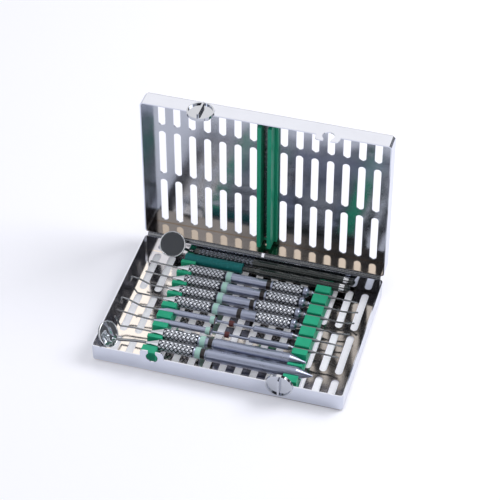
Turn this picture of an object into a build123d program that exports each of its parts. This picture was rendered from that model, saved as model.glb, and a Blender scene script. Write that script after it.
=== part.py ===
from build123d import *
from math import cos, radians, sin
import os

# Dental instrument cassette: two perforated steel trays on a rear hinge, closed by two
# quarter-turn disc latches, with silicone racks that carry ten hand instruments.
# Origin: middle of the base's underside. +Y points to the hinge, the lid stands open.

# ---- driving sizes, millimetres ----
case_width = 205.0
case_depth = 134.0
base_height = 16.5
lid_height = 15.5
sheet = 0.9
corner_radius = 2.6
bend_radius = 1.4
rim_gap = 0.2
lid_open_angle = 92.0

slot_width = 6.0
slot_columns = 15
slot_side_margin = 6.5
slot_bridge = 6.0
slot_margin = 3.5
long_slot_share = 0.3284
corner_hole_radius = 1.7

flat_gap = 0.3
running_gap = 0.1
pivot_clearance = 0.05

latch_inset = 50.5
disc_radius = 11.0
disc_thickness = 1.2
disc_rim_width = 1.1
disc_rim_rise = 1.3
disc_standoff = 0.35
fin_length = 17.0
fin_thickness = 1.6
fin_rise = 3.6
cam_width = 5.4
cam_length = 9.2
cam_clearance = 0.3
tab_pair_width = 19.6
tab_reach = 6.4
tab_round = 3.0
tab_clearance = 0.4
latch_plate_thickness = 1.0
latch_plate_width = 17.0
latch_foot_width = 26.0
latch_plate_drop = 13.0
latch_plate_reach = 5.6
shank_radius = 2.0
rivet_head_radius = 3.4
rivet_head_thickness = 1.0

hinge_end_gap = 3.4
hinge_middle_gap = 4.2
knuckle_radius = 2.0
hinge_pin_radius = 1.0
hinge_pin_head_radius = 1.7
hinge_pin_head = 0.8
leaf_thickness = 0.8
leaf_height = 11.0
knuckle_share = 0.3
knuckle_play = 0.2
hinge_rivet_radius = 1.6
hinge_rivet_rise = 0.7
hinge_rivet_spacing = 58.0

rack_column = 4.5
rack_width = 12.0
rack_front_gap = 6.0
rack_rear_gap = 1.6
rack_channel_thickness = 0.8
rack_channel_lip = 4.0
rack_above_axis = 2.6
rack_rivet_radius = 2.0
rack_rivet_inset = 11.0
notch_clearance = 0.3

lane_count = 9
lane_front_margin = 18.4
lane_rear_margin = 14.0
rear_lane_step = 9.0
instrument_axis_height = 12.6

rail_end_gap = 5.0
rail_wall = 3.2
rail_groove = 5.4
rail_base = 3.0
rail_flange = 2.4
rail_press_gap = 0.35
rail_strip_thickness = 1.0
rail_strip_width = 5.0
rail_rivet_radius = 1.8
rail_rivet_rise = 0.7
rivet_taper = 30.0

grip_radius = 4.4
middle_radius = 4.1
slim_radius = 2.6
body_radius = 4.9
heavy_radius = 3.5
core_radius = 2.2
rod_radius = 1.0
neck_radius = 1.4
wire_radius = 0.7
wire_bend_share = 0.3
wire_lead = 3.0
mint_ring_length = 4.2
mint_ring_proud = 0.6
dark_ring_length = 3.6
ring_depth = 0.6
ring_fit = 0.02
mirror_side_gap = 1.3
mirror_stem_bite = 0.6
mirror_stem_radius = 1.2
mirror_cup_thickness = 2.0
mirror_glass_thickness = 0.8
mirror_cup_wall = 0.7
front_mirror_tilt = 58.0
front_mirror_facing = -10.0
front_mirror_rise = 5.7
front_mirror_shift = -4.4
rear_mirror_tilt = 49.0
rear_mirror_facing = -76.0
rear_mirror_rise = 8.9
rear_mirror_shift = -5.1

# ---- frames: the base's own, and the lid's, drawn from its outer face inwards ----
hinge_y = case_depth / 2 + knuckle_radius + running_gap
hinge_z = base_height + rim_gap / 2
base_frame = Plane.XY
closed_height = base_height + rim_gap + lid_height

# ---- what follows from the case's size ----
half_width = case_width / 2
slot_pitch = (case_width - 2 * slot_side_margin) / slot_columns
long_slot = case_depth * long_slot_share
latch_offset = half_width - latch_inset
hinge_length = half_width - hinge_end_gap - hinge_middle_gap / 2
hinge_offset = (hinge_length + hinge_middle_gap) / 2
rack_offset = rack_column * slot_pitch
rack_length = case_depth - rack_front_gap - rack_rear_gap
rack_middle = (rack_front_gap - rack_rear_gap) / 2
rack_rivet_spacing = rack_length / 2 - rack_rivet_inset
lane_first = lane_front_margin - case_depth / 2
lane_pitch = (case_depth - lane_front_margin - lane_rear_margin) / (lane_count - 1)
mirror_radius = lane_pitch - wire_radius - mirror_side_gap
rail_length = case_depth - 2 * rail_end_gap


def turned(y, z):
    """A point of the closed lid, turned open about the hinge axis."""
    angle = -radians(lid_open_angle)
    away, up = y - hinge_y, z - hinge_z
    return (
        hinge_y + away * cos(angle) - up * sin(angle),
        hinge_z + away * sin(angle) + up * cos(angle),
    )


lid_origin = turned(0, closed_height)
lid_inward = turned(0, closed_height - 1)
lid_frame = Plane(
    origin=(0, *lid_origin),
    x_dir=(1, 0, 0),
    z_dir=(0, lid_inward[0] - lid_origin[0], lid_inward[1] - lid_origin[1]),
)


def spot(frame, x, y, z):
    return frame.from_local_coords(Vector(x, y, z))


def front_plane(frame, front, x, z):
    """On a tray's front wall, outer face: x along the wall, y towards the rim.
    Its normal points out of the base and into the lid, so distances are times -front."""
    return Plane(
        origin=spot(frame, x, front * case_depth / 2, z),
        x_dir=frame.x_dir,
        z_dir=-frame.y_dir,
    )


def section_plane(frame, y):
    """Across a tray, looking along its own y, for profiles that run front to rear."""
    return Plane(origin=spot(frame, 0, y, 0), x_dir=frame.x_dir, z_dir=-frame.y_dir)


def keep(piece, label):
    piece.part.label = label
    export_step(piece.part, f"parts/{label}.step")


os.makedirs("parts", exist_ok=True)

# Where the three rows of slots lie, counted from the front wall.
rear_row = case_depth / 2 - slot_margin - long_slot / 2
middle_row = rear_row - long_slot - slot_bridge
front_slot = case_depth - 2 * slot_margin - 2 * long_slot - 2 * slot_bridge
front_row = -case_depth / 2 + slot_margin + front_slot / 2
slot_rows = [(front_row, front_slot), (middle_row, long_slot), (rear_row, long_slot)]
chamber_radius = cam_length / 2 + cam_clearance
mouth_width = cam_width + 2 * cam_clearance
plate_offset = sheet + flat_gap


# ---- trays ----
def make_tray(frame, front, height, knob_x, rivet_spots, rivet_radius):
    """A pressed tray open towards its +z, with a keeper and the notch for the other's."""
    rim_level = height + rim_gap / 2
    out = -front
    with BuildPart() as tray:
        with BuildSketch(frame):
            RectangleRounded(case_width, case_depth, corner_radius)
        extrude(amount=height)
        fillet(tray.faces().sort_by(Axis(frame.origin, frame.z_dir))[0].edges(), bend_radius)
        with BuildSketch(frame.offset(sheet)):
            RectangleRounded(case_width - 2 * sheet, case_depth - 2 * sheet, corner_radius - sheet)
        extrude(amount=height, mode=Mode.SUBTRACT)
        with BuildSketch(frame):
            for row_y, row_length in slot_rows:
                with Locations((0, -front * row_y)):
                    with GridLocations(slot_pitch, row_length, slot_columns, 1):
                        SlotOverall(row_length, slot_width, rotation=90)
            for rivet_spot in rivet_spots:
                with Locations(rivet_spot):
                    Circle(rivet_radius + ring_fit)
        extrude(amount=sheet, mode=Mode.SUBTRACT)
        # relief holes where three bends meet
        hole_inset = corner_radius - bend_radius
        for side_x in (-1, 1):
            for side_y in (-1, 1):
                corner = spot(frame, side_x * (case_width / 2 - hole_inset),
                              side_y * (case_depth / 2 - hole_inset), hole_inset)
                outward = spot(frame, side_x, side_y, -1) - frame.origin
                with BuildSketch(Plane(origin=corner, z_dir=outward)):
                    Circle(corner_hole_radius)
                extrude(amount=2 * corner_radius, mode=Mode.SUBTRACT)
        # notch that takes the other tray's tabs
        with BuildSketch(front_plane(frame, front, knob_x, rim_level)):
            Rectangle(tab_pair_width + 2 * tab_clearance, 2 * (tab_reach + tab_clearance))
        extrude(amount=-out * 2 * sheet, mode=Mode.SUBTRACT)
        # keeper: two tabs past the rim, round chamber between them, narrower mouth
        with BuildSketch(front_plane(frame, front, -knob_x, rim_level)):
            with Locations((0, (tab_reach - chamber_radius) / 2)):
                RectangleRounded(tab_pair_width, tab_reach + chamber_radius, tab_round)
            Circle(chamber_radius, mode=Mode.SUBTRACT)
            with Locations((0, tab_reach)):
                Rectangle(mouth_width, 2 * tab_reach, mode=Mode.SUBTRACT)
        extrude(amount=-out * sheet)
        with BuildSketch(front_plane(frame, front, -knob_x, rim_level)):
            Circle(chamber_radius)
        extrude(amount=-out * sheet, mode=Mode.SUBTRACT)
    return tray


# ---- latches ----
def make_latch(frame, front, height, knob_x, name):
    """Quarter-turn disc on a plate inside its own wall; the cam works in the wall's plane."""
    wall = front_plane(frame, front, knob_x, height + rim_gap / 2)
    out = -front
    with BuildPart() as plate:
        with BuildSketch(wall.offset(-out * sheet)):
            foot_height = latch_plate_drop - tab_reach - 2 * tab_clearance
            with Locations((0, -latch_plate_drop + foot_height / 2)):
                RectangleRounded(latch_foot_width, foot_height, foot_height / 4)
        extrude(amount=-out * (flat_gap + latch_plate_thickness))
        with BuildSketch(wall.offset(-out * plate_offset)):
            with Locations((0, (latch_plate_reach - latch_plate_drop) / 2)):
                RectangleRounded(latch_plate_width, latch_plate_reach + latch_plate_drop, tab_round)
        extrude(amount=-out * latch_plate_thickness)
        with BuildSketch(wall):
            Circle(shank_radius + pivot_clearance)
        extrude(amount=-out * 2 * (plate_offset + latch_plate_thickness), mode=Mode.SUBTRACT)
    keep(plate, f"{name}_latch_plate")

    shank_length = disc_standoff + plate_offset + latch_plate_thickness + running_gap
    with BuildPart() as knob:
        face = wall.offset(out * disc_standoff)
        with BuildSketch(face):
            Circle(disc_radius)
        extrude(amount=out * disc_thickness)
        with BuildSketch(face.offset(out * disc_thickness)):
            Circle(disc_radius)
            Circle(disc_radius - disc_rim_width, mode=Mode.SUBTRACT)
        extrude(amount=out * disc_rim_rise)
        with BuildSketch(face.offset(out * disc_thickness)):
            SlotOverall(fin_length, fin_thickness, rotation=90)
        extrude(amount=out * fin_rise)
        with BuildSketch(face):
            SlotOverall(cam_length, cam_width, rotation=90)
        extrude(amount=-out * (disc_standoff + plate_offset - running_gap))
        with BuildSketch(face):
            Circle(shank_radius)
        extrude(amount=-out * shank_length)
    keep(knob, f"{name}_latch_knob")

    with BuildPart() as head:
        with BuildSketch(face.offset(-out * shank_length)):
            Circle(rivet_head_radius)
        extrude(amount=-out * rivet_head_thickness)
        chamfer(head.faces().sort_by(Axis(face.origin, face.z_dir * -out))[-1].edges(),
                rivet_head_thickness / 3)
    keep(head, f"{name}_latch_rivet")


rack_rivet_spots = [
    (side * rack_offset, row * rack_rivet_spacing) for side in (-1, 1) for row in (-1, 0, 1)
]
front_bridge = front_row + (front_slot + slot_bridge) / 2
rear_bridge = middle_row + (long_slot + slot_bridge) / 2
rail_rivet_spots = [(0, -front_bridge), (0, -rear_bridge)]
base_shell = make_tray(base_frame, -1, base_height, latch_offset,
                       rack_rivet_spots, rack_rivet_radius)
keep(base_shell, "base_shell")
lid_shell = make_tray(lid_frame, 1, lid_height, -latch_offset,
                      rail_rivet_spots, rail_rivet_radius)
keep(lid_shell, "lid_shell")
make_latch(base_frame, -1, base_height, latch_offset, "base")
make_latch(lid_frame, 1, lid_height, -latch_offset, "lid")


# ---- rear hinges ----
def hinge_section(frame, x):
    """Across the hinge at x: its y runs out of the rear wall, its z up that wall."""
    return Plane(origin=spot(frame, x, 0, 0), x_dir=frame.y_dir, z_dir=frame.x_dir)


def make_leaf(frame, rear, height, knuckles, name):
    """Leaf on the outside of a rear wall, with knuckles on the hinge axis."""
    wall_y = rear * case_depth / 2
    axis_y = rear * hinge_y
    axis_z = height + rim_gap / 2
    leaf_low = axis_z - knuckle_radius - flat_gap - leaf_height
    with BuildPart() as leaf:
        for centre in (-hinge_offset, hinge_offset):
            start = centre - hinge_length / 2
            with BuildSketch(hinge_section(frame, start)):
                with Locations((wall_y + rear * leaf_thickness / 2, leaf_low + leaf_height / 2)):
                    Rectangle(leaf_thickness, leaf_height)
            extrude(amount=hinge_length)
            for first, last in knuckles:
                with BuildSketch(hinge_section(frame, start + first * hinge_length)):
                    with Locations((axis_y, axis_z)):
                        Circle(knuckle_radius)
                    with Locations((wall_y + rear * leaf_thickness / 2,
                                    (leaf_low + axis_z) / 2)):
                        Rectangle(leaf_thickness, axis_z - leaf_low)
                    with Locations((axis_y, axis_z)):
                        Circle(hinge_pin_radius + pivot_clearance, mode=Mode.SUBTRACT)
                extrude(amount=(last - first) * hinge_length)
    keep(leaf, f"{name}_hinge_leaves")

    rivet_plane = Plane(origin=spot(frame, 0, wall_y + rear * leaf_thickness, 0),
                        x_dir=frame.x_dir, z_dir=frame.y_dir * rear)
    up = 1 if rivet_plane.y_dir.dot(frame.z_dir) > 0 else -1
    with BuildPart() as rivets:
        for centre in (-hinge_offset, hinge_offset):
            with BuildSketch(rivet_plane):
                with Locations((centre, up * (leaf_low + leaf_height / 2))):
                    with GridLocations(hinge_rivet_spacing, 1, 2, 1):
                        Circle(hinge_rivet_radius)
            extrude(amount=hinge_rivet_rise, taper=rivet_taper)
    keep(rivets, f"{name}_hinge_rivets")


play_share = knuckle_play / hinge_length
make_leaf(base_frame, 1, base_height, [(0, knuckle_share), (1 - knuckle_share, 1)], "base")
make_leaf(lid_frame, -1, lid_height,
          [(knuckle_share + play_share, 1 - knuckle_share - play_share)], "lid")

with BuildPart() as hinge_pins:
    for centre in (-hinge_offset, hinge_offset):
        pin_start = centre - hinge_length / 2
        with BuildSketch(hinge_section(base_frame, pin_start)):
            with Locations((hinge_y, hinge_z)):
                Circle(hinge_pin_radius)
        extrude(amount=hinge_length)
        for end_x, way in ((pin_start, -1), (pin_start + hinge_length, 1)):
            with BuildSketch(hinge_section(base_frame, end_x)):
                with Locations((hinge_y, hinge_z)):
                    Circle(hinge_pin_head_radius)
            extrude(amount=way * hinge_pin_head)
keep(hinge_pins, "hinge_pins")


# ---- instruments: what each lane carries ----
# left_end and right_end are where the handle's cones meet the thin working ends.
# Each outline lists (x, radius) along the handle between those ends, and every x is a
# share of the case's half width. A ring is (middle, length, radius of its bore, outer radius).
def lane_y(lane):
    """Even lanes, and one more close behind the last."""
    if lane < lane_count:
        return lane_first + lane * lane_pitch
    return lane_first + (lane_count - 1) * lane_pitch + rear_lane_step


def along(outline):
    return [(share * half_width, radius) for share, radius in outline]


def mint_ring(share, seat):
    return (share * half_width, mint_ring_length, seat - ring_depth, seat + mint_ring_proud)


def dark_ring(share, seat):
    return (share * half_width, dark_ring_length, seat - ring_depth, seat)


def make_scaler(split):
    """Knurled at both ends; split is where the dark ring parts the middle from the grip."""
    return dict(
        left_end=-0.634 * half_width, right_end=0.673 * half_width,
        left_seat=grip_radius, right_seat=neck_radius,
        outline=along([
            (-0.537, grip_radius), (-0.22, grip_radius), (-0.215, middle_radius),
            (split + 0.024, middle_radius), (split + 0.029, grip_radius),
            (0.44, grip_radius), (0.449, middle_radius), (0.463, core_radius),
            (0.488, core_radius), (0.498, neck_radius), (0.644, neck_radius)]),
        rings=[mint_ring(-0.198, middle_radius), dark_ring(split, middle_radius)],
    )


def make_pointed(split, right_end):
    """Knurled left grip, two rings, then a thick smooth body that ends in a point."""
    return dict(
        left_end=-0.615 * half_width, right_end=right_end * half_width,
        left_seat=grip_radius, right_seat=body_radius,
        outline=along([
            (-0.51, grip_radius), (-0.22, grip_radius), (-0.215, middle_radius),
            (split + 0.024, middle_radius), (split + 0.034, body_radius),
            (right_end - 0.127, body_radius)]),
        rings=[mint_ring(-0.19, middle_radius), dark_ring(split, middle_radius)],
    )


probe = dict(
    left_end=-0.634 * half_width, right_end=0.673 * half_width,
    left_seat=slim_radius, right_seat=neck_radius,
    outline=along([
        (-0.566, slim_radius), (-0.161, slim_radius), (-0.151, rod_radius),
        (0.141, rod_radius), (0.151, slim_radius), (0.459, slim_radius),
        (0.498, neck_radius), (0.644, neck_radius)]),
    rings=[mint_ring(-0.185, slim_radius),
           (-0.034 * half_width, dark_ring_length, rod_radius, slim_radius)],
)
black_bar = dict(
    left_end=-0.57 * half_width, right_end=0.785 * half_width,
    left_seat=heavy_radius, right_seat=heavy_radius,
    outline=along([(-0.546, heavy_radius), (0.766, heavy_radius)]),
    rings=[(0.712 * half_width, mint_ring_length, core_radius, heavy_radius)],
)
sleeved = dict(
    left_end=-0.615 * half_width, right_end=0.766 * half_width,
    left_seat=grip_radius, right_seat=heavy_radius,
    outline=along([
        (-0.605, core_radius), (-0.02, core_radius), (0.02, heavy_radius),
        (0.746, heavy_radius)]),
    rings=[(0.698 * half_width, mint_ring_length, core_radius, heavy_radius)],
)
sleeve_ring = (-0.364 * half_width, 0.478 * half_width, core_radius + ring_fit, grip_radius)

# Working ends: x is a share of the half width, y and z are in grip radii from the lane's
# axis. Each follows a straight lead out of its cone.
sickle_left = [(-0.77, -0.18, 0.07), (-0.878, 0.23, 0.68), (-0.936, 0, 1.25),
               (-0.951, -0.23, 0.34)]
hoe_left = [(-0.76, 0.11, 0), (-0.85, -0.11, 0.27), (-0.873, 0, 1.02)]
curl_left = [(-0.77, 0, 0.18), (-0.878, 0.11, 0.45), (-0.936, -0.11, 0.91)]
thin_left = [(-0.76, 0, 0.09), (-0.868, 0.23, 0.05)]
hook_left = [(-0.76, 0.09, -0.07), (-0.87, 0, -0.18), (-0.91, 0.23, 1.82)]
curl_right = [(0.761, 0, -0.18), (0.839, 0.27, -0.23), (0.888, 0, 0.34)]
thin_right = [(0.771, 0.07, -0.11), (0.859, -0.23, 0.11)]
instruments = [
    (0, "front_mirror", make_pointed(-0.151, 0.717), None, None),
    (1, "explorer", make_pointed(-0.127, 0.634), hook_left, None),
    (2, "front_probe", probe, curl_left, thin_right),
    (3, "rear_probe", probe, sickle_left, thin_right),
    (4, "scaler_one", make_scaler(-0.005), hoe_left, curl_right),
    (5, "scaler_two", make_scaler(0.063), sickle_left, curl_right),
    (6, "scaler_three", make_scaler(0.112), thin_left, curl_right),
    (7, "scaler_four", make_scaler(0.132), thin_left, thin_right),
    (8, "carver", sleeved, None, None),
    (9, "rear_mirror", black_bar, None, None),
]


def lane_plane(lane):
    return Plane(origin=(0, lane_y(lane), instrument_axis_height),
                 x_dir=(1, 0, 0), z_dir=(0, -1, 0))


def make_rings(lane, rings, label):
    with BuildPart() as bands:
        for middle, length, bore, outer in rings:
            with BuildSketch(lane_plane(lane)):
                with Locations((middle, (bore + outer) / 2)):
                    Rectangle(length, outer - bore)
            revolve(axis=Axis(lane_plane(lane).origin, (1, 0, 0)))
    keep(bands, label)


def make_handle(lane, kind, name):
    plane = lane_plane(lane)
    axis = Axis(plane.origin, (1, 0, 0))
    points = ([(kind["left_end"], wire_radius)] + kind["outline"]
              + [(kind["right_end"], wire_radius)])
    with BuildPart() as handle:
        with BuildSketch(plane):
            with BuildLine():
                Polyline((points[0][0], 0), *points, (points[-1][0], 0), close=True)
            make_face()
        revolve(axis=axis)
        for middle, length, bore, outer in kind["rings"]:
            if bore > rod_radius:
                with BuildSketch(plane):
                    with Locations((middle, bore - ring_fit + outer / 2)):
                        Rectangle(length, outer)
                revolve(axis=axis, mode=Mode.SUBTRACT)
    keep(handle, f"{name}_handle")
    make_rings(lane, kind["rings"], f"{name}_rings")


def make_tips(lane, wires, name):
    """Bent working ends, each swept along its centre line."""
    with BuildPart() as tips:
        for points, end, way in wires:
            lead = [(end, 0, 0), (end + way * wire_lead, 0, 0)]
            bent = [(x * half_width, y * grip_radius, z * grip_radius) for x, y, z in points]
            path = [(x, y + lane_y(lane), z + instrument_axis_height)
                    for x, y, z in lead + bent]
            runs = [(Vector(*b) - Vector(*a)).length for a, b in zip(path, path[1:])]
            with BuildLine() as route:
                FilletPolyline(*path, radius=min(runs) * wire_bend_share)
            with BuildSketch(Plane(origin=path[0], z_dir=(way, 0, 0))):
                Circle(wire_radius)
            sweep(path=route.wires()[0])
    keep(tips, f"{name}_tips")


def make_mirror_head(lane, kind, name, tilt, facing, middle):
    """Round cup on a bent stem at the handle's left end, with its glass. The glass tilts
    from level towards facing, an angle from +x; middle is its own, from the handle's end."""
    lean, turn = radians(tilt), radians(facing)
    start = Vector(kind["left_end"], lane_y(lane), instrument_axis_height)
    centre = start + Vector(*middle)
    face = Plane(origin=centre, x_dir=(-sin(turn), cos(turn), 0),
                 z_dir=(sin(lean) * cos(turn), sin(lean) * sin(turn), cos(lean)))
    away = start - centre
    near = (away - face.z_dir * away.dot(face.z_dir)).normalized()
    rim = (centre + near * (mirror_radius - mirror_stem_bite)
           - face.z_dir * (mirror_cup_thickness / 2))
    entry = (rim - start).normalized()
    with BuildPart() as cup:
        with BuildSketch(face.offset(-mirror_cup_thickness)):
            Circle(mirror_radius)
        extrude(amount=mirror_cup_thickness)
        fillet(cup.faces().sort_by(Axis(face.origin, face.z_dir))[0].edges(),
               mirror_cup_thickness / 3)
        with BuildLine() as route:
            Spline(start, rim, tangents=((-1, 0, 0), entry))
        with BuildSketch(Plane(origin=start, z_dir=(-1, 0, 0))):
            Circle(mirror_stem_radius)
        sweep(path=route.wires()[0])
        with BuildSketch(face):
            Circle(mirror_radius - mirror_cup_wall)
        extrude(amount=-mirror_glass_thickness, mode=Mode.SUBTRACT)
    keep(cup, f"{name}_tips")
    with BuildPart() as glass:
        with BuildSketch(face.offset(-mirror_glass_thickness)):
            Circle(mirror_radius - mirror_cup_wall - ring_fit)
        extrude(amount=mirror_glass_thickness)
    keep(glass, f"{name}_glass")


for lane, name, kind, left_wire, right_wire in instruments:
    make_handle(lane, kind, name)
    ends = ((left_wire, kind["left_end"], -1), (right_wire, kind["right_end"], 1))
    wires = [end for end in ends if end[0]]
    if wires:
        make_tips(lane, wires, name)
make_rings(8, [sleeve_ring], "carver_grip")
front_middle = (-0.286 * half_width, front_mirror_shift, front_mirror_rise)
rear_middle = (-0.158 * half_width, rear_mirror_shift, rear_mirror_rise)
make_mirror_head(0, instruments[0][2], "front_mirror",
                 front_mirror_tilt, front_mirror_facing, front_middle)
make_mirror_head(9, black_bar, "rear_mirror",
                 rear_mirror_tilt, rear_mirror_facing, rear_middle)


# ---- racks in the base ----
rack_seat = sheet + rack_channel_thickness
rack_top = instrument_axis_height + rack_above_axis
for side, side_name, seat_key in ((-1, "left", "left_seat"), (1, "right", "right_seat")):
    rack_x = side * rack_offset
    with BuildPart() as channel:
        with BuildSketch(Plane.XY.offset(sheet)):
            with Locations((rack_x, rack_middle)):
                Rectangle(rack_width + 2 * rack_channel_thickness, rack_length)
        extrude(amount=rack_channel_thickness + rack_channel_lip)
        with BuildSketch(Plane.XY.offset(rack_seat)):
            with Locations((rack_x, rack_middle)):
                Rectangle(rack_width, rack_length)
        extrude(amount=rack_channel_lip, mode=Mode.SUBTRACT)
        with BuildSketch(Plane.XY.offset(sheet)):
            with Locations((rack_x, 0)):
                with GridLocations(1, rack_rivet_spacing, 1, 3):
                    Circle(rack_rivet_radius + ring_fit)
        extrude(amount=rack_channel_thickness, mode=Mode.SUBTRACT)
    keep(channel, f"{side_name}_rack_channel")
    with BuildPart() as rack:
        with BuildSketch(Plane.XY.offset(rack_seat)):
            with Locations((rack_x, rack_middle)):
                Rectangle(rack_width, rack_length)
        extrude(amount=rack_top - rack_seat)
        for lane, name, kind, left_wire, right_wire in instruments:
            notch = kind[seat_key] + notch_clearance
            across = Plane(origin=(rack_x - rack_width, lane_y(lane), instrument_axis_height),
                           x_dir=(0, 1, 0), z_dir=(1, 0, 0))
            with BuildSketch(across):
                Circle(notch)
                with Locations((0, rack_above_axis)):
                    Rectangle(2 * notch, 2 * rack_above_axis)
                if lane == lane_count:
                    # the last two handles share one wide notch
                    with Locations((-rear_lane_step / 2, rack_above_axis)):
                        Rectangle(rear_lane_step, 2 * rack_above_axis)
            extrude(amount=2 * rack_width, mode=Mode.SUBTRACT)
    keep(rack, f"{side_name}_rack")

with BuildPart() as rack_rivets:
    for side in (-1, 1):
        with BuildSketch(Plane.XY):
            with Locations((side * rack_offset, 0)):
                with GridLocations(1, rack_rivet_spacing, 1, 3):
                    Circle(rack_rivet_radius)
        extrude(amount=rack_seat)
keep(rack_rivets, "rack_rivets")


# ---- hold-down rail in the lid ----
rail_width = 2 * rail_wall + rail_groove
tallest_handle = instrument_axis_height + body_radius
rail_height = closed_height - sheet - tallest_handle - rail_press_gap
rail_plane = section_plane(lid_frame, rail_length / 2)
with BuildPart() as rail:
    with BuildSketch(rail_plane):
        with Locations((0, sheet + rail_base / 2)):
            Rectangle(rail_width + 2 * rail_flange, rail_base)
        with Locations((0, sheet + rail_height / 2)):
            Rectangle(rail_width, rail_height)
        with Locations((0, sheet + rail_base + rail_height / 2)):
            Rectangle(rail_groove, rail_height, mode=Mode.SUBTRACT)
    extrude(amount=rail_length)
    with BuildSketch(lid_frame):
        with Locations(*rail_rivet_spots):
            Circle(rail_rivet_radius + ring_fit)
    extrude(amount=sheet + rail_base, mode=Mode.SUBTRACT)
keep(rail, "lid_rail")
with BuildPart() as rail_strip:
    with BuildSketch(lid_frame.offset(sheet + rail_base)):
        RectangleRounded(rail_strip_width, rail_length - 2 * rail_wall, rail_strip_width / 4)
        with Locations(*rail_rivet_spots):
            Circle(rail_rivet_radius + ring_fit, mode=Mode.SUBTRACT)
    extrude(amount=rail_strip_thickness)
keep(rail_strip, "lid_rail_strip")
with BuildPart() as rail_rivets:
    with BuildSketch(lid_frame):
        with Locations(*rail_rivet_spots):
            Circle(rail_rivet_radius)
    extrude(amount=sheet + rail_base + rail_strip_thickness)
    with BuildSketch(lid_frame.offset(sheet + rail_base + rail_strip_thickness)):
        with Locations(*rail_rivet_spots):
            Circle(rail_rivet_radius)
    extrude(amount=rail_rivet_rise, taper=rivet_taper)
keep(rail_rivets, "lid_rail_rivets")
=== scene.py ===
import math

import bmesh
import bpy
from mathutils import Matrix, Vector


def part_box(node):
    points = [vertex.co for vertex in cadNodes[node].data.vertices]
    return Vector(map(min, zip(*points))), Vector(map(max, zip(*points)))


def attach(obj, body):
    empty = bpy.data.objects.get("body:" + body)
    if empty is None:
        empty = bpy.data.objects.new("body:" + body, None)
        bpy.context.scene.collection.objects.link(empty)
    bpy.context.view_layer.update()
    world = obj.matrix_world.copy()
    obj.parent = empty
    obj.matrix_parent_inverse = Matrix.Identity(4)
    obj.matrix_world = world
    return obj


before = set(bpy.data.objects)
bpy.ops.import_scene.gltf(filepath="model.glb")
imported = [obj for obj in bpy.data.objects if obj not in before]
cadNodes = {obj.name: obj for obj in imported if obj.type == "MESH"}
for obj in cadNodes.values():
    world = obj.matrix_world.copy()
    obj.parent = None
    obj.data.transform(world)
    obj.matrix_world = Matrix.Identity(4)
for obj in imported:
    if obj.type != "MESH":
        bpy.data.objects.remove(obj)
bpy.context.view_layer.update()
print("frame loaded,", len(cadNodes), "nodes")


def newObject(name, data):
    made = bpy.data.objects.new(name, data)
    bpy.context.scene.collection.objects.link(made)
    return made


# Where the camera stands, in metres, and which way it looks, in degrees.
camera = {
    "place": (0.318, -1.035, 1.098),
    "azimuth": 16.6,
    "elevation": 43.1,
    "roll": -0.65,
    "focalPixels": 1905.0,
    "framePixels": 500.0,
    "sensor": 36.0,
    "clip": (0.05, 20.0),
}


def makeCamera(settings):
    data = bpy.data.cameras.new("viewCamera")
    data.sensor_width = settings["sensor"]
    data.lens = settings["focalPixels"] / settings["framePixels"] * settings["sensor"]
    data.clip_start, data.clip_end = settings["clip"]
    azimuth, elevation, roll = (
        math.radians(settings[angle]) for angle in ("azimuth", "elevation", "roll"))
    back = Vector((math.sin(azimuth) * math.cos(elevation),
                   -math.cos(azimuth) * math.cos(elevation),
                   math.sin(elevation)))
    right = (-back).cross(Vector((0, 0, 1))).normalized()
    up = right.cross(-back)
    rolledRight = right * math.cos(roll) + up * math.sin(roll)
    rolledUp = up * math.cos(roll) - right * math.sin(roll)
    turn = Matrix((rolledRight, rolledUp, back)).transposed()
    made = newObject("viewCamera", data)
    made.matrix_world = Matrix.Translation(settings["place"]) @ turn.to_4x4()
    bpy.context.scene.camera = made


makeCamera(camera)
print("camera placed")


# Small helpers for node trees.
def addNode(tree, kind, values=None, **options):
    made = tree.nodes.new(kind)
    for name, value in options.items():
        setattr(made, name, value)
    for name, value in (values or {}).items():
        made.inputs[name].default_value = value
    return made


def calc(tree, operation, first, second=None):
    made = addNode(tree, "ShaderNodeMath", operation=operation)
    for socket, value in zip(made.inputs, (first, second)):
        if value is None:
            continue
        if isinstance(value, (int, float)):
            socket.default_value = value
        else:
            tree.links.new(value, socket)
    return made.outputs["Value"]


def between(tree, value, low, high):
    return calc(tree, "MULTIPLY", calc(tree, "GREATER_THAN", value, low),
                calc(tree, "LESS_THAN", value, high))


def remap(tree, value, fromLow, fromHigh, toLow, toHigh):
    made = addNode(tree, "ShaderNodeMapRange",
                   {"From Min": fromLow, "From Max": fromHigh,
                    "To Min": toLow, "To Max": toHigh})
    tree.links.new(value, made.inputs["Value"])
    return made.outputs["Result"]


def objectPoint(tree, scale=(1, 1, 1)):
    where = addNode(tree, "ShaderNodeTexCoord")
    mapping = addNode(tree, "ShaderNodeMapping", {"Scale": scale})
    tree.links.new(where.outputs["Object"], mapping.inputs["Vector"])
    return mapping.outputs["Vector"]


def splitPoint(tree):
    split = addNode(tree, "ShaderNodeSeparateXYZ")
    tree.links.new(objectPoint(tree), split.inputs[0])
    return split.outputs


def noise(tree, point, scale, detail, roughness):
    made = addNode(tree, "ShaderNodeTexNoise",
                   {"Scale": scale, "Detail": detail, "Roughness": roughness})
    tree.links.new(point, made.inputs["Vector"])
    return made.outputs["Fac"]


def mixColors(tree, share, first, second):
    made = addNode(tree, "ShaderNodeMix", data_type="RGBA")
    tree.links.new(share, made.inputs[0])
    for socket, value in zip(made.inputs[6:8], (first, second)):    # its two colours
        if isinstance(value, tuple):
            socket.default_value = (*value, 1)
        else:
            tree.links.new(value, socket)
    return made.outputs[2]


def mixShades(tree, share, color, shades):
    darkest, lightest = (tuple(channel * shade for channel in color) for shade in shades)
    return mixColors(tree, share, darkest, lightest)


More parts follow.
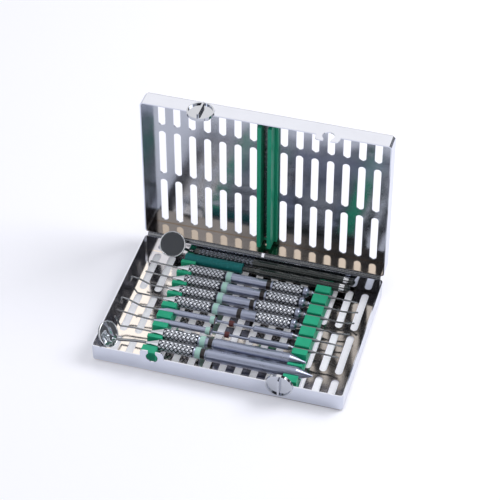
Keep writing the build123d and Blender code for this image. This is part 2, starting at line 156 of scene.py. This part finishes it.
def addBump(tree, height, strength, depth, under=None):
    made = addNode(tree, "ShaderNodeBump", {"Strength": strength, "Distance": depth})
    tree.links.new(height, made.inputs["Height"])
    if under is not None:
        tree.links.new(under, made.inputs["Normal"])
    return made.outputs["Normal"]


def newMaterial(name, sockets):
    made = bpy.data.materials.new(name)
    made.use_nodes = True
    shader = made.node_tree.nodes["Principled BSDF"]
    for socket, value in sockets.items():
        shader.inputs[socket].default_value = value
    return made, made.node_tree, shader


def finishShader(tree, shader, color, rough, normal):
    tree.links.new(color, shader.inputs["Base Color"])
    tree.links.new(rough, shader.inputs["Roughness"])
    tree.links.new(normal, shader.inputs["Normal"])


# Floor, light and background. Everything is in metres and watts.
studio = {
    "floorSize": (6.0, 6.0),
    "floorDrop": 0.0003,      # keeps the floor clear of the case's underside
    "floorColor": (0.855, 0.855, 0.92),
    "floorLift": 0.16,        # added where it is seen, so the page stays white
    "ambient": 0.60,
    "ambientColor": (0.94, 0.96, 1.0),
    "page": 1.0,
    "pageColor": (1.0, 1.0, 1.0),
    "aim": (0, 0, 0.03),
    "lamps": [
        {"name": "keyLamp", "place": (0.80, 0.50, 1.08), "size": 0.75, "power": 11.0},
        {"name": "fillLamp", "place": (-0.9, -0.7, 0.9), "size": 1.2, "power": 2.0},
        {"name": "backLamp", "place": (-0.35, 1.25, 1.20), "size": 1.1, "power": 1.3,
         "color": (1.0, 0.90, 0.78)},
    ],
    "cardColor": (0.02, 0.02, 0.024),
    "cards": [                # black flags that only polished metal shows
        {"name": "cameraCard", "place": (0.33, -1.05, 1.15), "size": (1.38, 1.6)},
        {"name": "rearCard", "place": (0.52, 1.05, 1.00), "size": (0.60, 0.8)},
        {"name": "rightCard", "place": (0.9, 0.9, 0.25), "size": (1.4, 0.5)},
    ],
}


def emptyTree(owner):
    owner.use_nodes = True
    owner.node_tree.nodes.clear()
    return owner.node_tree


def seenDirectly(tree):
    # 1 for the camera, in mirrors and through glass, and 0 for light on its way to things
    rays = addNode(tree, "ShaderNodeLightPath").outputs
    mirrored = calc(tree, "MAXIMUM", rays["Is Glossy Ray"], rays["Is Transmission Ray"])
    return calc(tree, "MAXIMUM", rays["Is Camera Ray"], mirrored)


def makeWorld(settings):
    world = bpy.data.worlds.new("studioWorld")
    tree = emptyTree(world)
    mix = addNode(tree, "ShaderNodeMixShader")
    tree.links.new(seenDirectly(tree), mix.inputs["Fac"])
    for socket, light in ((1, "ambient"), (2, "page")):
        sky = addNode(tree, "ShaderNodeBackground",
                      {"Color": (*settings[f"{light}Color"], 1), "Strength": settings[light]})
        tree.links.new(sky.outputs[0], mix.inputs[socket])
    out = addNode(tree, "ShaderNodeOutputWorld")
    tree.links.new(mix.outputs[0], out.inputs["Surface"])
    bpy.context.scene.world = world


def makeFloorMaterial(settings):
    made = bpy.data.materials.new("paleFloor")
    tree = emptyTree(made)
    paint = addNode(tree, "ShaderNodeBsdfDiffuse", {"Color": (*settings["floorColor"], 1)})
    glow = addNode(tree, "ShaderNodeEmission")
    tree.links.new(calc(tree, "MULTIPLY", seenDirectly(tree), settings["floorLift"]),
                   glow.inputs["Strength"])
    both = addNode(tree, "ShaderNodeAddShader")
    tree.links.new(paint.outputs[0], both.inputs[0])
    tree.links.new(glow.outputs[0], both.inputs[1])
    out = addNode(tree, "ShaderNodeOutputMaterial")
    tree.links.new(both.outputs[0], out.inputs["Surface"])
    return made


def makePanel(name, size, level, material):
    wide, tall = (length / 2 for length in size)
    mesh = bpy.data.meshes.new(name)
    mesh.from_pydata([(-wide, -tall, level), (wide, -tall, level),
                      (wide, tall, level), (-wide, tall, level)], [], [(0, 1, 2, 3)])
    mesh.materials.append(material)
    return newObject(name, mesh)


def aimAt(made, place, target):
    made.location = place
    made.rotation_mode = "QUATERNION"
    made.rotation_quaternion = (Vector(target) - made.location).to_track_quat("-Z", "Y")


def makeStudio(settings):
    makeWorld(settings)
    floor = makePanel("floor", settings["floorSize"], -settings["floorDrop"],
                      makeFloorMaterial(settings))
    for lamp in settings["lamps"]:
        data = bpy.data.lights.new(lamp["name"], "AREA")
        data.shape, data.size, data.energy = "SQUARE", lamp["size"], lamp["power"]
        data.color = lamp.get("color", (1, 1, 1))
        aimAt(newObject(lamp["name"], data), lamp["place"], settings["aim"])
    black = newMaterial("blackFlag", {"Base Color": (*settings["cardColor"], 1)})[0]
    for card in settings["cards"]:
        made = makePanel(card["name"], card["size"], 0, black)
        aimAt(made, card["place"], settings["aim"])
        for ray in ("camera", "diffuse", "shadow", "transmission"):
            setattr(made, f"visible_{ray}", False)
    bpy.context.scene.view_settings.view_transform = "Standard"


makeStudio(studio)
print("floor, lamps and background made")


# In every finish a noise is (scale, detail, roughness), a bump is (strength, depth in
# metres), and shades are the darkest and the lightest share of the colour.
sheetMetal = {
    "color": (0.62, 0.645, 0.725),
    "shades": (0.94, 1.05),
    "lineStretch": (18, 2200, 2200),    # rolling lines run along x
    "lines": (1.0, 2.0, 0.6),
    "lineBump": (0.10, 0.00006),
    "waves": (26.0, 1.5, 0.4),
    "waveBump": (0.25, 0.0012),
    "wipeStretch": (1, 1.6, 1.6),
    "wipes": (60.0, 4.0, 0.62),
    "wipeSpan": (0.3, 0.75),
}
# A painted reflection is colour laid on one inner face, which lies from low to high along
# its normal and further back than behind. It runs from leftColor to rightColor along x.
hingePaintedReflection = {                 # the lid's wall by the hinge: a painted brown reflection
    "leftColor": (0.37, 0.32, 0.275),
    "rightColor": (0.50, 0.43, 0.37),
    "from": -0.080,
    "to": 0.080,
    "normal": (0.0, 0.0349, 1.0),
    "low": 0.02145,
    "high": 0.02260,
    "behind": 0.0690,
}
lidPaintedReflection = {                   # the lid's inner face: a painted dark reflection, darker than its outside
    "leftColor": (0.44, 0.46, 0.515),
    "rightColor": (0.44, 0.46, 0.515),
    "from": -0.080,
    "to": 0.080,
    "normal": (0.0, 0.99939, -0.0349),
    "low": 0.0826,
    "high": 0.0834,
    "behind": 0.0690,
}
floorPaintedReflection = {                 # the base's inner floor: a painted tan reflection, darker to the right
    "leftColor": (0.78, 0.73, 0.69),
    "rightColor": (0.34, 0.315, 0.30),
    "from": -0.060,
    "to": 0.075,
    "normal": (0.0, 0.0, 1.0),
    "low": 0.0004,
    "high": 0.0017,
    "behind": -1.0,
}
sheetFinishes = {
    "sheetSteel": {"roughness": (0.05, 0.13), "paintedReflections": [floorPaintedReflection]},
    "lidSteel": {"roughness": (0.10, 0.19), "paintedReflections": [lidPaintedReflection, hingePaintedReflection]},
}


def addPaintedReflection(tree, shade, reflection):
    # lays one painted reflection over its inner face, blending leftColor into rightColor along
    # x
    place = splitPoint(tree)
    depth = addNode(tree, "ShaderNodeVectorMath", operation="DOT_PRODUCT")
    tree.links.new(objectPoint(tree), depth.inputs[0])
    depth.inputs[1].default_value = reflection["normal"]
    onFace = calc(tree, "MULTIPLY",
                  between(tree, depth.outputs["Value"], reflection["low"], reflection["high"]),
                  calc(tree, "GREATER_THAN", place["Y"], reflection["behind"]))
    across = remap(tree, place["X"], reflection["from"], reflection["to"], 0.0, 1.0)
    reflected = mixColors(tree, across, reflection["leftColor"], reflection["rightColor"])
    return mixColors(tree, onFace, shade, reflected)


def makeSheetSteel(name, settings, wears):
    # rolled sheet: faint lines along x, slow waves, and wiped patches
    made, tree, shader = newMaterial(name, {"Metallic": 1.0})
    lines = noise(tree, objectPoint(tree, settings["lineStretch"]), *settings["lines"])
    waves = noise(tree, objectPoint(tree), *settings["waves"])
    wiped = noise(tree, objectPoint(tree, settings["wipeStretch"]), *settings["wipes"])
    shade = mixShades(tree, wiped, settings["color"], settings["shades"])
    # painted reflections on the inner faces
    for reflection in wears["paintedReflections"]:
        shade = addPaintedReflection(tree, shade, reflection)
    rough = remap(tree, wiped, *settings["wipeSpan"], *wears["roughness"])
    slow = addBump(tree, waves, *settings["waveBump"])
    finishShader(tree, shader, shade, rough, addBump(tree, lines, *settings["lineBump"], slow))
    return made


brightMetal = {
    "shades": (0.92, 1.0),
    "wear": (400.0, 3.0, 0.6),
    "wearSpan": (0.3, 0.7),
    "wearBump": (0.08, 0.00005),
    "roughShares": (0.7, 1.3),
    "waveStretch": (1, 2, 1),
    "waves": (70.0, 1.0, 0.4),
}
brightFinishes = {
    "brightSteel": {"color": (0.72, 0.73, 0.77), "roughness": 0.14},
    "tipSteel": {"color": (0.24, 0.25, 0.27), "roughness": 0.2},
    "latchSteel": {"color": (0.50, 0.52, 0.57), "roughness": 0.10},
    # painted shade: this steel is kept dark so the hinge line and the lid rail's strip and
    # rivets read as shaded
    "hingeSteel": {"color": (0.20, 0.205, 0.22), "roughness": 0.25},
    "rimSteel": {"color": (0.72, 0.73, 0.77), "roughness": 0.08},
    "studSteel": {"color": (0.56, 0.58, 0.64), "roughness": 0.4},
    "darkStuds": {"color": (0.13, 0.14, 0.17), "roughness": 0.25},
    "mirrorGlass": {"color": (0.50, 0.52, 0.55), "roughness": 0.03, "metallic": 0.87,
                    "waveBump": (1.0, 0.0013)},
}


def makeBrightSteel(name, settings, wears):
    # small bright parts: even wear, and slow waves where a finish has them
    made, tree, shader = newMaterial(name, {"Metallic": wears.get("metallic", 1.0)})
    worn = noise(tree, objectPoint(tree), *settings["wear"])
    shade = mixShades(tree, worn, wears["color"], settings["shades"])
    rough = remap(tree, worn, *settings["wearSpan"],
                  *(wears["roughness"] * share for share in settings["roughShares"]))
    slow = None
    if "waveBump" in wears:
        waves = noise(tree, objectPoint(tree, settings["waveStretch"]), *settings["waves"])
        slow = addBump(tree, waves, *wears["waveBump"])
    finishShader(tree, shader, shade, rough, addBump(tree, worn, *settings["wearBump"], slow))
    return made


turnedMetal = {
    "color": (0.345, 0.375, 0.490),
    "shades": (0.9, 1.08),
    "roughness": (0.26, 0.36),
    "ringStretch": (5200, 12, 12),      # turning marks go round the x axis
    "rings": (1.0, 2.0, 0.6),
    "ringBump": (0.15, 0.00004),
    "wear": (220.0, 4.0, 0.6),
    "wearSpan": (0.3, 0.7),
    "coneColor": (0.50, 0.52, 0.56),
    "conePolish": 0.7,
    "neckColor": brightFinishes["tipSteel"]["color"],
    "neckStart": 0.0474,
    "collar": (0.0496, 0.0512),         # a bright collar round the dark neck
    # painted shade in the grooves under the knurl's studs
    "grooveShadeColor": (0.040, 0.043, 0.055),
}


def makeTurnedSteel(name, settings, wears):
    # turned bar: fine rings round the axis; the cone left of the grips is polished, a
    # thin neck is as dark as the wire in it, and grips carry painted shade between their studs
    made, tree, shader = newMaterial(name, {"Metallic": 1.0})
    rings = noise(tree, objectPoint(tree, settings["ringStretch"]), *settings["rings"])
    worn = noise(tree, objectPoint(tree), *settings["wear"])
    along = splitPoint(tree)["X"]
    shade = mixShades(tree, worn, settings["color"], settings["shades"])
    rough = remap(tree, worn, *settings["wearSpan"], *settings["roughness"])
    if wears["grips"]:
        cone = calc(tree, "LESS_THAN", along, wears["grips"][0][0])
        shade = mixColors(tree, cone, shade, settings["coneColor"])
        polish = calc(tree, "MULTIPLY", cone, settings["conePolish"])
        rough = calc(tree, "MULTIPLY", rough, calc(tree, "SUBTRACT", 1.0, polish))
    if wears["neck"]:
        neck = calc(tree, "SUBTRACT", calc(tree, "GREATER_THAN", along, settings["neckStart"]),
                    between(tree, along, *settings["collar"]))
        shade = mixColors(tree, neck, shade, settings["neckColor"])
    # each grip is painted dark under its studs: painted shade in the knurl's grooves
    for start, end in wears["grips"]:
        shade = mixColors(tree, between(tree, along, start, end), shade,
                          settings["grooveShadeColor"])
    finishShader(tree, shader, shade, rough, addBump(tree, rings, *settings["ringBump"]))
    return made


silicone = {
    "shades": (0.82, 1.18),
    "roughness": (0.36, 0.5),
    "mottle": (90.0, 3.0, 0.55),
    "mottleSpan": (0.3, 0.7),
    "grain": (2600.0, 3.0, 0.6),
    "grainBump": (0.2, 0.00004),
    "sockets": {"Subsurface Weight": 0.12, "Subsurface Scale": 0.002,
                "Subsurface Radius": (0.3, 1.0, 0.6), "Specular IOR Level": 0.3},
}
siliconeFinishes = {
    "greenSilicone": {"color": (0.014, 0.300, 0.175)},
    "rackSilicone": {"color": (0.016, 0.370, 0.205)},
}


def makeSilicone(name, settings, wears):
    # moulded silicone: soft sheen, faint mottling, grain a fraction of a millimetre
    made, tree, shader = newMaterial(name, settings["sockets"])
    grain = noise(tree, objectPoint(tree), *settings["grain"])
    mottle = noise(tree, objectPoint(tree), *settings["mottle"])
    shade = mixShades(tree, mottle, wears["color"], settings["shades"])
    rough = remap(tree, mottle, *settings["mottleSpan"], *settings["roughness"])
    finishShader(tree, shader, shade, rough, addBump(tree, grain, *settings["grainBump"]))
    return made


ringPlastic = {
    "mintColor": (0.42, 0.66, 0.60),
    "mintShades": (0.85, 1.0),
    "split": -0.01735,        # mint rings lie left of this, the others right of it
    "roughness": (0.28, 0.42),
    "clouds": (700.0, 3.0, 0.5),
    "cloudSpan": (0.3, 0.7),
    "cloudBump": (0.1, 0.00008),
    "sockets": {"Subsurface Weight": 0.3, "Subsurface Scale": 0.0015,
                "Subsurface Radius": (0.7, 1.0, 0.9)},
}
ringFinishes = {
    "ringsDark": {"color": (0.014, 0.009, 0.010)},
    "ringsRed": {"color": (0.085, 0.010, 0.012)},
}


def makeRingPlastic(name, settings, wears):
    # one node holds a mint ring and another one, parted by where they lie along x
    made, tree, shader = newMaterial(name, settings["sockets"])
    isRight = calc(tree, "GREATER_THAN", splitPoint(tree)["X"], settings["split"])
    cloudy = noise(tree, objectPoint(tree), *settings["clouds"])
    mint = mixShades(tree, cloudy, settings["mintColor"], settings["mintShades"])
    shade = mixColors(tree, isRight, mint, wears["color"])
    rough = remap(tree, cloudy, *settings["cloudSpan"], *settings["roughness"])
    finishShader(tree, shader, shade, rough, addBump(tree, cloudy, *settings["cloudBump"]))
    return made


glossPlastic = {
    "shades": (0.7, 1.25),
    "roughShares": (0.75, 1.35),
    "grain": (620.0, 4.0, 0.65),
    "grainSpan": (0.3, 0.7),
    "grainBump": (0.2, 0.00008),
    "speckSpan": (0.57, 0.68),
}
glossFinishes = {
    "tealGrip": {"color": (0.004, 0.145, 0.146), "specks": (0.03, 0.24, 0.24),
                 "roughness": 0.45, "sockets": {"Specular IOR Level": 0.25}},
    "blackResin": {"color": (0.014, 0.019, 0.019), "specks": (0.05, 0.056, 0.056),
                   "roughness": 0.22,
                   "sockets": {"Specular IOR Level": 0.495, "Coat Weight": 0.35,
                               "Coat Roughness": 0.12}},
}


def makeGlossPlastic(name, settings, wears):
    # grainy plastic with lighter specks, lacquered where its sockets say so
    made, tree, shader = newMaterial(name, wears["sockets"])
    grain = noise(tree, objectPoint(tree), *settings["grain"])
    shade = mixShades(tree, grain, wears["color"], settings["shades"])
    specks = remap(tree, grain, *settings["speckSpan"], 0.0, 1.0)
    shade = mixColors(tree, specks, shade, wears["specks"])
    rough = remap(tree, grain, *settings["grainSpan"],
                  *(wears["roughness"] * share for share in settings["roughShares"]))
    finishShader(tree, shader, shade, rough, addBump(tree, grain, *settings["grainBump"]))
    return made


finishes = {}
for makeFinish, settings, kinds in ((makeSheetSteel, sheetMetal, sheetFinishes),
                                    (makeBrightSteel, brightMetal, brightFinishes),
                                    (makeSilicone, silicone, siliconeFinishes),
                                    (makeRingPlastic, ringPlastic, ringFinishes),
                                    (makeGlossPlastic, glossPlastic, glossFinishes)):
    for name, wears in kinds.items():
        finishes[name] = makeFinish(name, settings, wears)
print("finishes made")


# What each instrument wears. Grips are (start, end) along x, in metres, and a neck is
# where the handle narrows to the wire at its right.
longGrip = (-0.0545, -0.0230)
shortGrip = (-0.0520, -0.0230)
gripEnd = 0.0428
instruments = {
    "front_mirror": {"grips": [shortGrip], "neck": False, "rings": "ringsDark"},
    "explorer": {"grips": [shortGrip], "neck": False, "rings": "ringsDark"},
    "front_probe": {"grips": [], "neck": True, "rings": "ringsRed"},
    "rear_probe": {"grips": [], "neck": True, "rings": "ringsRed"},
    "scaler_one": {"grips": [longGrip, (0.0135, gripEnd)], "neck": True, "rings": "ringsDark"},
    "scaler_two": {"grips": [longGrip, (0.010, gripEnd)], "neck": True, "rings": "ringsDark"},
    "scaler_three": {"grips": [longGrip, (0.015, gripEnd)], "neck": True, "rings": "ringsDark"},
    "scaler_four": {"grips": [longGrip, (0.017, gripEnd)], "neck": True, "rings": "ringsDark"},
    "carver": {"grips": [], "neck": False, "rings": "brightSteel"},
    "rear_mirror": {"grips": [(-0.0530, -0.0050)], "neck": False, "rings": "brightSteel"},
}
resinHandles = ("carver", "rear_mirror")
nodeFinish = {
    "base_shell": "sheetSteel", "lid_shell": "lidSteel",
    "lid_rail_strip": "hingeSteel", "lid_rail_rivets": "hingeSteel",
    "left_rack": "rackSilicone", "right_rack": "rackSilicone", "lid_rail": "greenSilicone",
    "carver_grip": "tealGrip",
}


def dress(node, material):
    mesh = cadNodes[node].data
    mesh.materials.clear()
    mesh.materials.append(material)


def bareFinish(node):
    if "latch" in node:
        return "latchSteel"
    return "hingeSteel" if "hinge" in node else "brightSteel"


for node in cadNodes:
    dress(node, finishes[nodeFinish.get(node, bareFinish(node))])
for name, wears in instruments.items():
    if name in resinHandles:
        dress(f"{name}_handle", finishes["blackResin"])
    else:
        dress(f"{name}_handle", makeTurnedSteel(f"{name}Steel", turnedMetal, wears))
    dress(f"{name}_rings", finishes[wears["rings"]])
    for part, kind in (("tips", "tipSteel"), ("glass", "mirrorGlass")):
        if f"{name}_{part}" in cadNodes:
            dress(f"{name}_{part}", finishes[kind])
print("nodes dressed")


# Knurled grips: diamond studs in staggered rows round each grip.
knurl = {
    "around": 7,
    "rowPitch": 0.00172,
    "studLength": 0.00140,    # from middle to corner, along the grip
    "studTop": 0.00066,
    "studRise": 0.00032,
    "studSink": 0.00003,      # how deep the studs' feet lie in the grip
    "steelRadius": 0.0044,
    "resinRadius": 0.0035,
}


def makeKnurlTree(material):
    tree = bpy.data.node_groups.new("knurlRows", "GeometryNodeTree")
    sizes = {"Geometry": "Geometry", "Start": "Float", "Rows": "Int", "Around": "Int",
             "Row Pitch": "Float", "Radius": "Float", "Stud Length": "Float",
             "Stud Top": "Float", "Stud Rise": "Float", "Centre": "Vector"}
    for label, kind in sizes.items():
        tree.interface.new_socket(label, in_out="INPUT", socket_type=f"NodeSocket{kind}")
    tree.interface.new_socket("Geometry", in_out="OUTPUT", socket_type="NodeSocketGeometry")
    given = addNode(tree, "NodeGroupInput").outputs

    # which row each stud is in, and where round the grip it sits
    index = addNode(tree, "GeometryNodeInputIndex").outputs[0]
    row = calc(tree, "FLOOR", calc(tree, "DIVIDE", index, given["Around"]))
    place = calc(tree, "MODULO", index, given["Around"])
    stagger = calc(tree, "MULTIPLY", calc(tree, "MODULO", row, 2), 0.5)
    share = calc(tree, "DIVIDE", calc(tree, "ADD", place, stagger), given["Around"])
    angle = calc(tree, "MULTIPLY", share, 2 * math.pi)
    along = calc(tree, "ADD", given["Start"], calc(tree, "MULTIPLY", row, given["Row Pitch"]))
    point = addNode(tree, "ShaderNodeCombineXYZ")
    tree.links.new(along, point.inputs["X"])
    for axis, part in (("Y", "COSINE"), ("Z", "SINE")):
        tree.links.new(calc(tree, "MULTIPLY", calc(tree, part, angle), given["Radius"]),
                       point.inputs[axis])
    shifted = addNode(tree, "ShaderNodeVectorMath", operation="ADD")
    tree.links.new(point.outputs[0], shifted.inputs[0])
    tree.links.new(given["Centre"], shifted.inputs[1])
    points = addNode(tree, "GeometryNodePoints")
    tree.links.new(calc(tree, "MULTIPLY", given["Rows"], given["Around"]),
                   points.inputs["Count"])
    tree.links.new(shifted.outputs[0], points.inputs["Position"])

    stud = addNode(tree, "GeometryNodeMeshCone", {"Vertices": 4})    # a diamond's corners
    for size, socket in (("Stud Top", "Radius Top"), ("Stud Length", "Radius Bottom"),
                         ("Stud Rise", "Depth")):
        tree.links.new(given[size], stud.inputs[socket])
    lean = addNode(tree, "ShaderNodeCombineXYZ")
    tree.links.new(calc(tree, "SUBTRACT", angle, math.pi / 2), lean.inputs["X"])
    spread = addNode(tree, "GeometryNodeInstanceOnPoints")
    tree.links.new(points.outputs[0], spread.inputs["Points"])
    tree.links.new(stud.outputs["Mesh"], spread.inputs["Instance"])
    tree.links.new(lean.outputs[0], spread.inputs["Rotation"])
    real = addNode(tree, "GeometryNodeRealizeInstances")
    tree.links.new(spread.outputs[0], real.inputs[0])
    painted = addNode(tree, "GeometryNodeSetMaterial", {"Material": material})
    tree.links.new(real.outputs[0], painted.inputs["Geometry"])
    out = addNode(tree, "NodeGroupOutput")
    tree.links.new(painted.outputs[0], out.inputs[0])
    return tree


def runTree(tree, values):
    # a throwaway carrier wears the tree, and its result comes back as a plain mesh
    carrier = newObject("carrier", bpy.data.meshes.new("carrier"))
    modifier = carrier.modifiers.new("tree", "NODES")
    modifier.node_group = tree
    for item in tree.interface.items_tree:
        if item.in_out == "INPUT" and item.name in values:
            modifier[item.identifier] = values[item.name]
    bpy.context.view_layer.update()
    seen = carrier.evaluated_get(bpy.context.evaluated_depsgraph_get())
    mesh = bpy.data.meshes.new_from_object(seen)
    carrier.modifiers.clear()
    bpy.data.objects.remove(carrier)
    return mesh


def joinMeshes(name, meshes):
    whole = bmesh.new()
    for mesh in meshes:
        whole.from_mesh(mesh)
    made = bpy.data.meshes.new(name)
    whole.to_mesh(made)
    whole.free()
    return made


def axisOf(name):
    low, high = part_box(f"{name}_handle")
    return Vector((0, (low.y + high.y) / 2, (low.z + high.z) / 2))


def makeKnurl(name, settings, tree, grips, radius):
    length, pitch = settings["studLength"], settings["rowPitch"]
    return joinMeshes(f"{name}Knurl", [runTree(tree, {
        "Start": start + length, "Rows": int((end - start - 2 * length) / pitch) + 1,
        "Around": settings["around"], "Row Pitch": pitch,
        "Radius": radius - settings["studSink"], "Stud Length": length,
        "Stud Top": settings["studTop"], "Stud Rise": settings["studRise"],
        "Centre": axisOf(name),
    }) for start, end in grips])


knurlTree = makeKnurlTree(finishes["studSteel"])
for name, wears in instruments.items():
    if not wears["grips"]:
        continue
    dark = name in resinHandles
    radius = knurl["resinRadius" if dark else "steelRadius"]
    mesh = makeKnurl(name, knurl, knurlTree, wears["grips"], radius)
    mesh.materials.append(finishes["darkStuds" if dark else "studSteel"])
    piece = newObject(f"{name}Knurl", mesh)
    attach(piece, name)
print("knurls made")


# Rolled bead round each mirror's glass.
bead = {
    "outside": 0.00034,       # from the glass's edge to the middle of the bead
    "radius": 0.00048,
    "around": 72,
    "across": 12,
}


def measureGlass(name):
    # the middle of the glass's front, the way it faces, and how far it reaches
    mesh = cadNodes[f"{name}_glass"].data
    points = [vertex.co.copy() for vertex in mesh.vertices]
    centre = sum(points, Vector()) / len(points)
    widest = max(mesh.polygons, key=lambda face: face.area)
    normal = widest.normal if widest.normal.z > 0 else -widest.normal
    front = max((point - centre).dot(normal) for point in points)
    edge = max(((point - centre) - normal * (point - centre).dot(normal)).length
               for point in points)
    return centre + normal * front, normal, edge


def makeBead(name, settings):
    middle, normal, edge = measureGlass(name)
    side = normal.orthogonal().normalized()
    across = normal.cross(side)
    around, ring = settings["around"], settings["across"]
    verts, faces = [], []
    for spoke in range(around):
        turn = 2 * math.pi * spoke / around
        out = side * math.cos(turn) + across * math.sin(turn)
        here, there = spoke * ring, (spoke + 1) % around * ring
        for corner in range(ring):
            roll = 2 * math.pi * corner / ring
            reach = edge + settings["outside"] + settings["radius"] * math.cos(roll)
            verts.append(middle + out * reach + normal * (settings["radius"] * math.sin(roll)))
            after = (corner + 1) % ring
            faces.append((here + corner, there + corner, there + after, here + after))
    made = bpy.data.meshes.new(f"{name}Bead")
    made.from_pydata(verts, [], faces)
    made.shade_smooth()
    return made


for name in ("front_mirror", "rear_mirror"):
    mesh = makeBead(name, bead)
    mesh.materials.append(finishes["rimSteel"])
    piece = newObject(f"{name}Bead", mesh)
    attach(piece, name)
print("mirror beads made")
